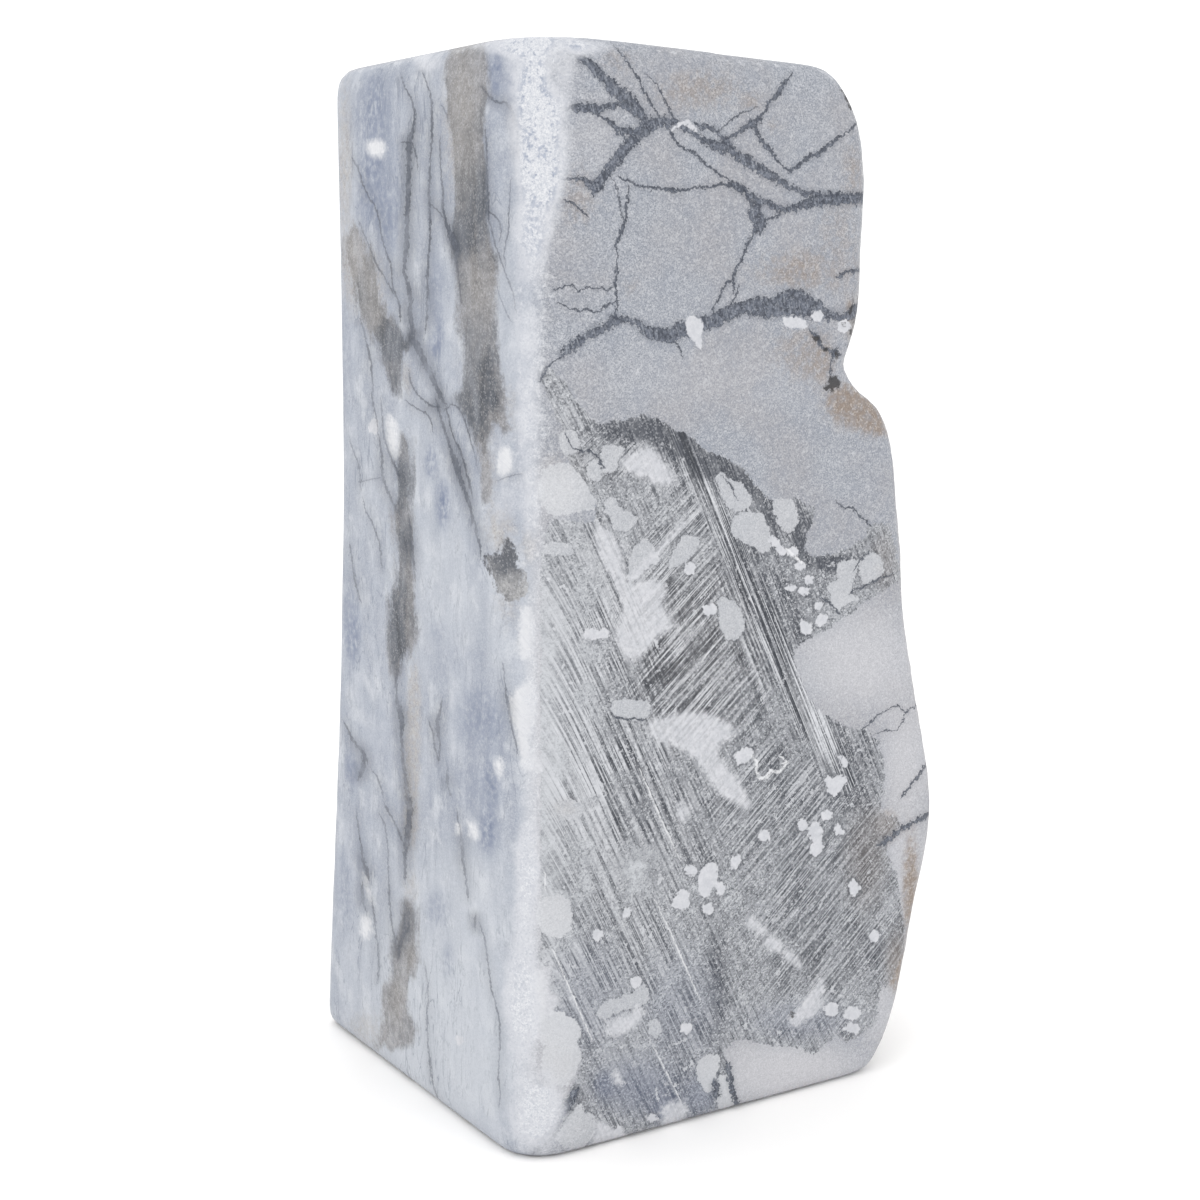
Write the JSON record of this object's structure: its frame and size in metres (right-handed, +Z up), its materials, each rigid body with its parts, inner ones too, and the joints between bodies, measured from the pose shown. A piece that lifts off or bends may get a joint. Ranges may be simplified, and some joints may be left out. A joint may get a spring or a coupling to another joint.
{
  "type": "alabaster carving stone",
  "caption": "Tall sawn block of veined grey-white alabaster for carving, standing on a flat sawn base, with rounded edges and one natural side that steps in at a ledge.",
  "frame": {"origin": "on the floor plane under the middle of the stone's outer box, so that the flat base lies at Z = 0", "axes": "+Z up along the stone's height, -Y out of the sawn front face, +X out of the natural side"},
  "size_m": [0.1264, 0.102, 0.2399],
  "materials": {
    "alabaster": "sawn and tumbled, satin"
  },
  "bodies": {
    "root": {"stone": "alabaster"}
  },
  "joints": []
}
